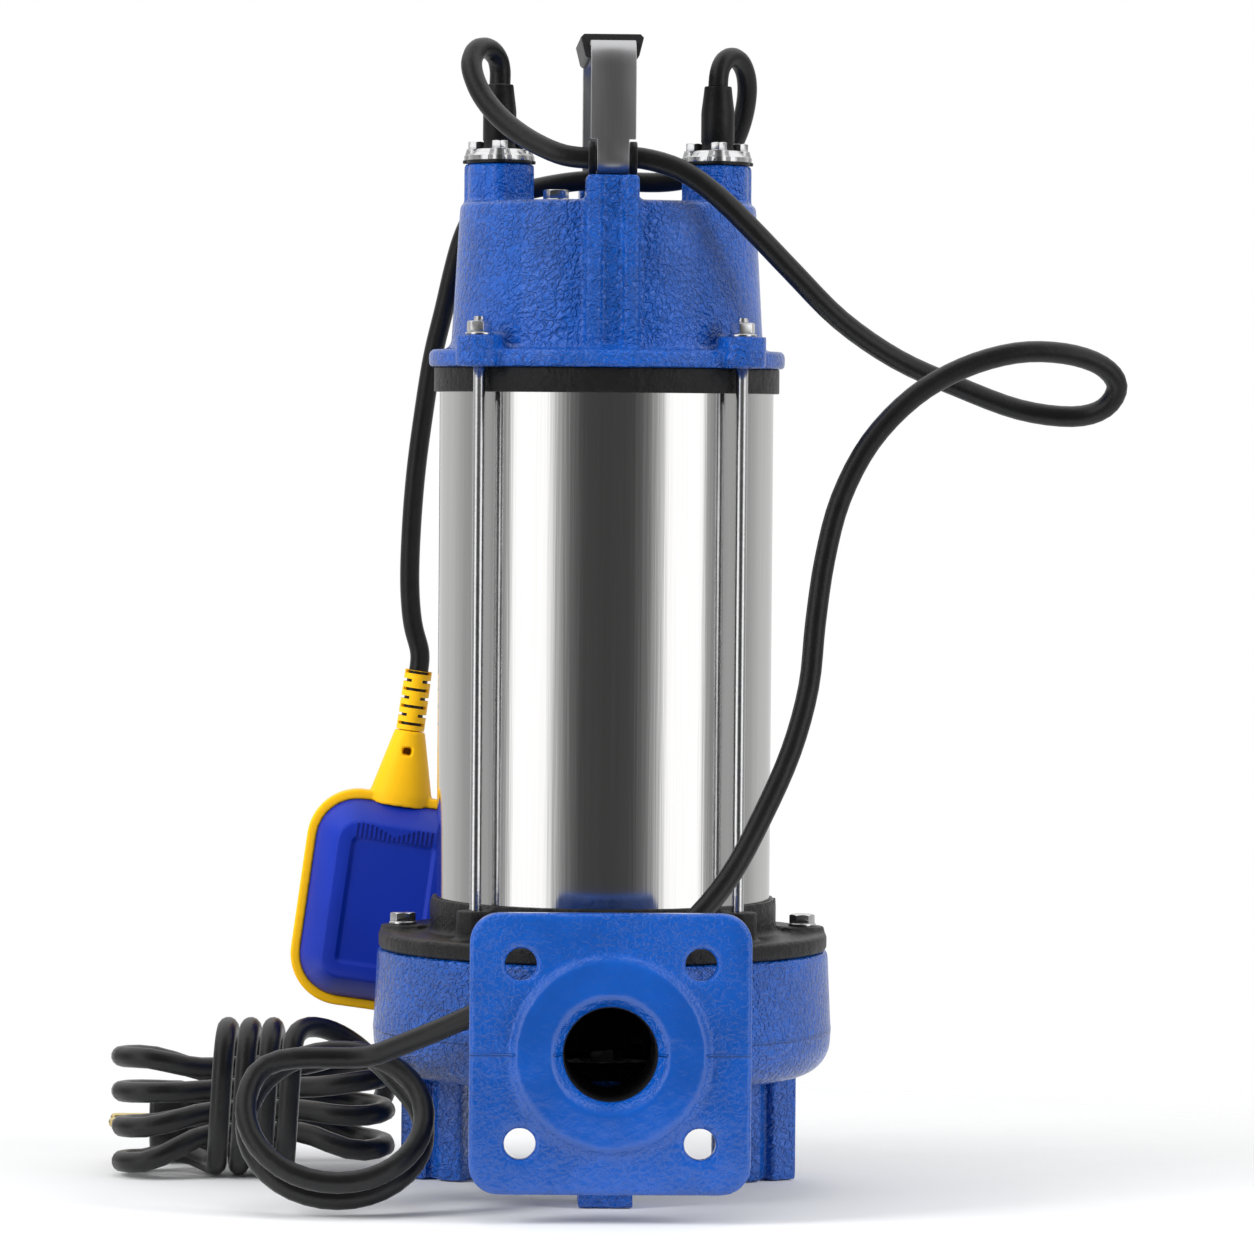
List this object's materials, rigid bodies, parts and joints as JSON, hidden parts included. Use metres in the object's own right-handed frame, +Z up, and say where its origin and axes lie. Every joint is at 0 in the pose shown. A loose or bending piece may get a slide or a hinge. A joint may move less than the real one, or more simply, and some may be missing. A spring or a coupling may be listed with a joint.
{
  "type": "submersible sump pump",
  "caption": "Upright submersible sump pump: stainless motor tube, blue cast cap and volute with a square flanged outlet, carrying handle, float switch and power cable in a hank.",
  "frame": {"origin": "on the shaft axis, at the plane of the feet", "axes": "+Z up along the shaft, -Y out of the outlet flange, +X to the right seen from the outlet"},
  "size_m": [0.4575, 0.2547, 0.5175],
  "materials": {
    "blue_paint": "hammered gloss enamel over cast iron",
    "black_casting": "satin black painted casting",
    "bright_fasteners": "polished stainless",
    "rubber": "satin moulded rubber",
    "grip_plastic": "satin black plastic",
    "cable_rubber": "matte cable sheath",
    "pin_brass": "plated brass",
    "seal_ceramic": "ground ceramic",
    "seal_carbon": "lapped carbon",
    "bearing_steel": "ground steel",
    "motor_stainless": "bright polished stainless tube",
    "handle_stainless": "brushed stainless strap",
    "core_steel": "laminated steel",
    "copper": "varnished copper wire",
    "aluminium": "plain aluminium",
    "inner_plastic": "moulded plastic",
    "float_blue": "satin moulded plastic",
    "float_yellow": "satin moulded plastic"
  },
  "bodies": {
    "root": {"volute_casing": "blue_paint", "casing_feet": "blue_paint", "motor_cap": "blue_paint", "suction_cover": "black_casting", "oil_chamber": "black_casting", "upper_bearing_bracket": "black_casting", "suction_cover_screws": "bright_fasteners", "casing_bolts": "bright_fasteners", "washers": "bright_fasteners", "tie_rod_nuts": "bright_fasteners", "air_plug": "bright_fasteners", "gland_plates": "bright_fasteners", "gland_screws": "bright_fasteners", "handle_screws": "bright_fasteners", "tie_rods": "bright_fasteners", "casing_seal": "rubber", "lip_seal": "rubber", "tube_seals": "rubber", "cap_gasket": "rubber", "gland_gaskets": "rubber", "power_boot": "rubber", "float_boot": "rubber", "cable_grommet": "rubber", "handle_grip": "grip_plastic", "power_cable": "cable_rubber", "power_cable_coil": "cable_rubber", "plug_body": "cable_rubber", "float_cable": "cable_rubber", "plug_pins": "pin_brass", "oil_plug": "pin_brass", "seal_seat": "seal_ceramic", "lower_bearing_outer": "bearing_steel", "upper_bearing_outer": "bearing_steel", "capacitor_clamp": "bearing_steel", "motor_tube": "motor_stainless", "handle_strap": "handle_stainless", "stator_core": "core_steel", "stator_windings": "copper", "capacitor": "aluminium", "thermal_protector": "inner_plastic", "terminal_block": "inner_plastic"},
    "rotor": {"shaft": "bearing_steel", "rotor_core": "core_steel", "rotor_end_rings": "aluminium", "lower_bearing_inner": "bearing_steel", "upper_bearing_inner": "bearing_steel", "seal_head": "seal_carbon", "seal_bellows": "rubber", "impeller": "black_casting", "impeller_key": "bearing_steel", "impeller_nut": "bright_fasteners"},
    "lower_cage": {"lower_bearing_balls": "bearing_steel"},
    "upper_cage": {"upper_bearing_balls": "bearing_steel"},
    "float": {"float_front_shell": "float_blue", "float_back_shell": "float_blue", "float_frame": "float_yellow", "float_strain_relief": "float_yellow", "float_switch": "inner_plastic"},
    "ball": {"float_ball": "bearing_steel"}
  },
  "joints": [
    {"name": "rotor_spin", "type": "hinge", "parent": "root", "child": "rotor", "pos_m": [0, 0, 0.2], "axis": [0, 0, 1], "continuous": true},
    {"name": "lower_cage_orbit", "type": "hinge", "parent": "root", "child": "lower_cage", "pos_m": [0, 0, 0.16], "axis": [0, 0, 1], "continuous": true},
    {"name": "upper_cage_orbit", "type": "hinge", "parent": "root", "child": "upper_cage", "pos_m": [0, 0, 0.35], "axis": [0, 0, 1], "continuous": true},
    {"name": "float_swing", "type": "hinge", "parent": "root", "child": "float", "pos_m": [-0.0725, 0.068, 0.4], "axis": [0, 1, 0], "range_deg": [0, 120], "deforming": ["float_cable"]},
    {"name": "float_ball_roll", "type": "slide", "parent": "float", "child": "ball", "axis": [0.1357, 0, 0.9907], "range_m": [0, 0.016]}
  ],
  "couplings": [
    {"joint": "lower_cage_orbit", "follows": "rotor_spin", "ratio": 0.382},
    {"joint": "upper_cage_orbit", "follows": "rotor_spin", "ratio": 0.38}
  ]
}
